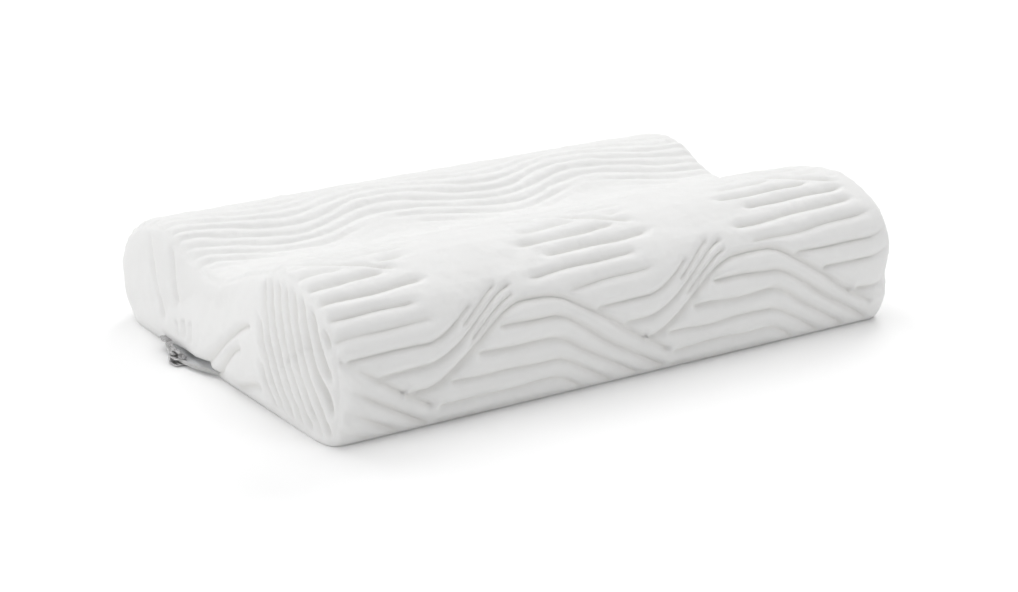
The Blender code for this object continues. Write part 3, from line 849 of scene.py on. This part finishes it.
def mottleGroup():
    # soft uneven patches, with a finer grain on top
    inputs = {
        "Vector": ("NodeSocketVector", None), "Size": ("NodeSocketFloat", 0.01), "Grain": ("NodeSocketFloat", 0.3)}
    tree, given, result = newGroup("mottle", inputs, ("Patches", "Fine"))
    scale = calculate(tree, "DIVIDE", 1.0, given["Size"])
    wide = addNode(tree, "TexNoise", {
        "Vector": given["Vector"], "Scale": scale,
        "Detail": mottling["detail"], "Roughness": mottling["roughness"]})
    fineScale = calculate(tree, "MULTIPLY", scale, mottling["fineTimes"])
    fine = addNode(tree, "TexNoise", {
        "Vector": given["Vector"], "Scale": fineScale,
        "Detail": mottling["fineDetail"], "Roughness": mottling["fineRoughness"]})
    both = calculate(tree, "MULTIPLY_ADD", fine.outputs["Fac"], given["Grain"], wide.outputs["Fac"])
    tree.links.new(calculate(tree, "DIVIDE", both, calculate(tree, "ADD", given["Grain"], 1.0)), result["Patches"])
    tree.links.new(fine.outputs["Fac"], result["Fine"])
    return tree


threads = threadsGroup()
mottle = mottleGroup()


def newMaterial(name):
    made = bpy.data.materials.new(name)
    made.use_nodes = True
    return made, made.node_tree, made.node_tree.nodes["Principled BSDF"]


def useGroup(tree, group, sockets):
    node = tree.nodes.new("ShaderNodeGroup")
    node.node_tree = group
    for socket, value in sockets.items():
        feed(tree, node.inputs[socket], value)
    return node.outputs


def mixColour(tree, share, first, second):
    node = addNode(tree, "Mix", {"Factor": share}, data_type="RGBA")
    colours = [socket for socket in node.inputs if socket.type == "RGBA"]
    for socket, value in zip(colours, (first, second)):
        feed(tree, socket, (*value, 1.0) if isinstance(value, tuple) else value)
    return next(socket for socket in node.outputs if socket.type == "RGBA")


def addBump(tree, shader, height, distance):
    bump = addNode(tree, "Bump", {"Height": height, "Distance": distance, "Strength": 1.0})
    before = shader.inputs["Normal"].links
    if before:
        tree.links.new(before[0].from_socket, bump.inputs["Normal"])
    tree.links.new(bump.outputs["Normal"], shader.inputs["Normal"])


knit = dict(
    # the darker tone after the crest is painted shade, for the sunk grooves and the gaps between stitches
    crest=(0.840, 0.840, 0.836), paintedGrooveShade=(0.806, 0.801, 0.785), grooveShadeRange=(0.05, 0.75),
    shade=(0.802, 0.802, 0.795), shadeShare=0.30, shadeRange=(0.40, 0.64), patchSize=0.045, patchGrain=0.4,
    stitch=(0.00125, 0.00105), stitchSlant=1.0, stitchDepth=0.00012, stitchGapShade=0.5,
    puckerSize=0.0065, puckerGrain=0.25, puckerDepth=0.00050,
    fuzzSize=0.0011, fuzzGrain=0.5, fuzzDepth=0.00006, fuzzRange=(0.3, 0.7),
    roughness=(0.88, 1.0), specular=0.2, sheen=0.10, sheenRoughness=0.5,
)


def knitMaterial():
    made, tree, shader = newMaterial("whiteKnit")
    place = addNode(tree, "TexCoord").outputs["Object"]
    flat = addNode(tree, "UVMap", uv_map="knitUv").outputs["UV"]
    puff = addNode(tree, "Attribute", attribute_name="puff").outputs["Fac"]
    patches, puckers, fuzz = [
        useGroup(tree, mottle, {
            "Vector": place, "Size": knit[effect + "Size"], "Grain": knit[effect + "Grain"]})["Patches"]
        for effect in ("patch", "pucker", "fuzz")]
    column, row = knit["stitch"]
    stitches = useGroup(tree, threads, {
        "Vector": flat, "Column": column, "Row": row, "Slant": knit["stitchSlant"]})["Height"]
    # painted shade: the knit is mixed to a darker tone in the sunk grooves, back to its own colour up the ridges
    clearOfGrooveShade = remap(tree, puff, *knit["grooveShadeRange"], 0.0, 1.0)
    body = mixColour(tree, clearOfGrooveShade, knit["paintedGrooveShade"], knit["crest"])
    patchy = remap(tree, patches, *knit["shadeRange"], 0.0, knit["shadeShare"])
    tinted = mixColour(tree, patchy, body, knit["shade"])
    # painted shade between the stitches: the knit is mixed towards the darker groove tone in the gaps between
    # threads
    shadeBetweenStitches = remap(tree, stitches, 0.0, knit["stitchGapShade"], knit["stitchGapShade"], 0.0)
    tree.links.new(mixColour(tree, shadeBetweenStitches, tinted, knit["paintedGrooveShade"]), shader.inputs["Base Color"])
    tree.links.new(remap(tree, fuzz, *knit["fuzzRange"], *knit["roughness"]), shader.inputs["Roughness"])
    shader.inputs["Specular IOR Level"].default_value = knit["specular"]
    shader.inputs["Sheen Weight"].default_value = knit["sheen"]
    shader.inputs["Sheen Roughness"].default_value = knit["sheenRoughness"]
    addBump(tree, shader, puckers, knit["puckerDepth"])
    addBump(tree, shader, stitches, knit["stitchDepth"])
    addBump(tree, shader, fuzz, knit["fuzzDepth"])
    return made


tapeCloth = dict(
    # the gap tone is painted shade between the threads, and also the tone of the random worn patches
    thread=(0.80, 0.81, 0.82), gap=(0.66, 0.67, 0.68), gapShadeRange=(0.05, 0.7),
    column=0.0011, row=0.0007, slant=2.0, weaveDepth=0.00018,
    patchSize=0.012, patchGrain=0.5, wornRange=(0.45, 0.7), wornShare=0.35,
    roughRange=(0.3, 0.7), roughness=(0.85, 1.0), specular=0.3)


def tapeMaterial():
    made, tree, shader = newMaterial("wovenTape")
    place = addNode(tree, "TexCoord").outputs["Object"]
    weave = useGroup(tree, threads, {
        "Vector": place, "Column": tapeCloth["column"], "Row": tapeCloth["row"],
        "Slant": tapeCloth["slant"]})["Height"]
    patches = useGroup(tree, mottle, {
        "Vector": place, "Size": tapeCloth["patchSize"], "Grain": tapeCloth["patchGrain"]})["Patches"]
    # painted shade between the threads: the weave's gaps are drawn in the darker gap tone
    clearOfGapShade = remap(tree, weave, *tapeCloth["gapShadeRange"], 0.0, 1.0)
    cloth = mixColour(tree, clearOfGapShade, tapeCloth["gap"], tapeCloth["thread"])
    # random worn patches, mixed towards the same darker tone that paints the shade between threads
    worn = remap(tree, patches, *tapeCloth["wornRange"], 0.0, tapeCloth["wornShare"])
    tree.links.new(mixColour(tree, worn, cloth, tapeCloth["gap"]), shader.inputs["Base Color"])
    rough = remap(tree, patches, *tapeCloth["roughRange"], *tapeCloth["roughness"])
    tree.links.new(rough, shader.inputs["Roughness"])
    shader.inputs["Specular IOR Level"].default_value = tapeCloth["specular"]
    addBump(tree, shader, weave, tapeCloth["weaveDepth"])
    return made


nylon = dict(
    clean=(0.80, 0.80, 0.79), dull=(0.70, 0.70, 0.69), dullRange=(0.40, 0.65),
    size=0.004, grain=0.5, smooth=0.38, rough=0.55, grainDepth=0.00003)


def coilMaterial():
    made, tree, shader = newMaterial("nylonCoil")
    place = addNode(tree, "TexCoord").outputs["Object"]
    spots = useGroup(tree, mottle, {"Vector": place, "Size": nylon["size"], "Grain": nylon["grain"]})
    dull = remap(tree, spots["Patches"], *nylon["dullRange"], 0.0, 1.0)
    tree.links.new(mixColour(tree, dull, nylon["clean"], nylon["dull"]), shader.inputs["Base Color"])
    tree.links.new(remap(tree, dull, 0.0, 1.0, nylon["smooth"], nylon["rough"]), shader.inputs["Roughness"])
    addBump(tree, shader, spots["Fine"], nylon["grainDepth"])
    return made


nickel = dict(
    bright=(0.64, 0.635, 0.645), tarnish=(0.40, 0.395, 0.39), agedRange=(0.42, 0.62), size=0.0035, grain=0.45,
    smooth=0.22, rough=0.44,
    brushSize=0.0004, brushGrain=0.3, brushStretch=(1.0, 14.0, 1.0), brushDepth=0.00002)


def metalMaterial():
    made, tree, shader = newMaterial("satinNickel")
    place = addNode(tree, "TexCoord").outputs["Object"]
    spots = useGroup(tree, mottle, {"Vector": place, "Size": nickel["size"], "Grain": nickel["grain"]})
    along = [1.0 / stretch for stretch in nickel["brushStretch"]]
    drawn = addNode(tree, "Mapping", {"Vector": place, "Scale": along}).outputs["Vector"]
    brushed = useGroup(tree, mottle, {"Vector": drawn, "Size": nickel["brushSize"], "Grain": nickel["brushGrain"]})
    aged = remap(tree, spots["Patches"], *nickel["agedRange"], 0.0, 1.0)
    tree.links.new(mixColour(tree, aged, nickel["bright"], nickel["tarnish"]), shader.inputs["Base Color"])
    tree.links.new(remap(tree, aged, 0.0, 1.0, nickel["smooth"], nickel["rough"]), shader.inputs["Roughness"])
    shader.inputs["Metallic"].default_value = 1.0
    addBump(tree, shader, brushed["Patches"], nickel["brushDepth"])
    return made


makeCamera()
makeWorld()
for name, light in studio["lights"].items():
    makeLight(name, light)
makeFloor()
print("studio ready")
makePillow()
makeZipTape()
makeZipCoil()
dressZipMetal()
print("zip end ready")
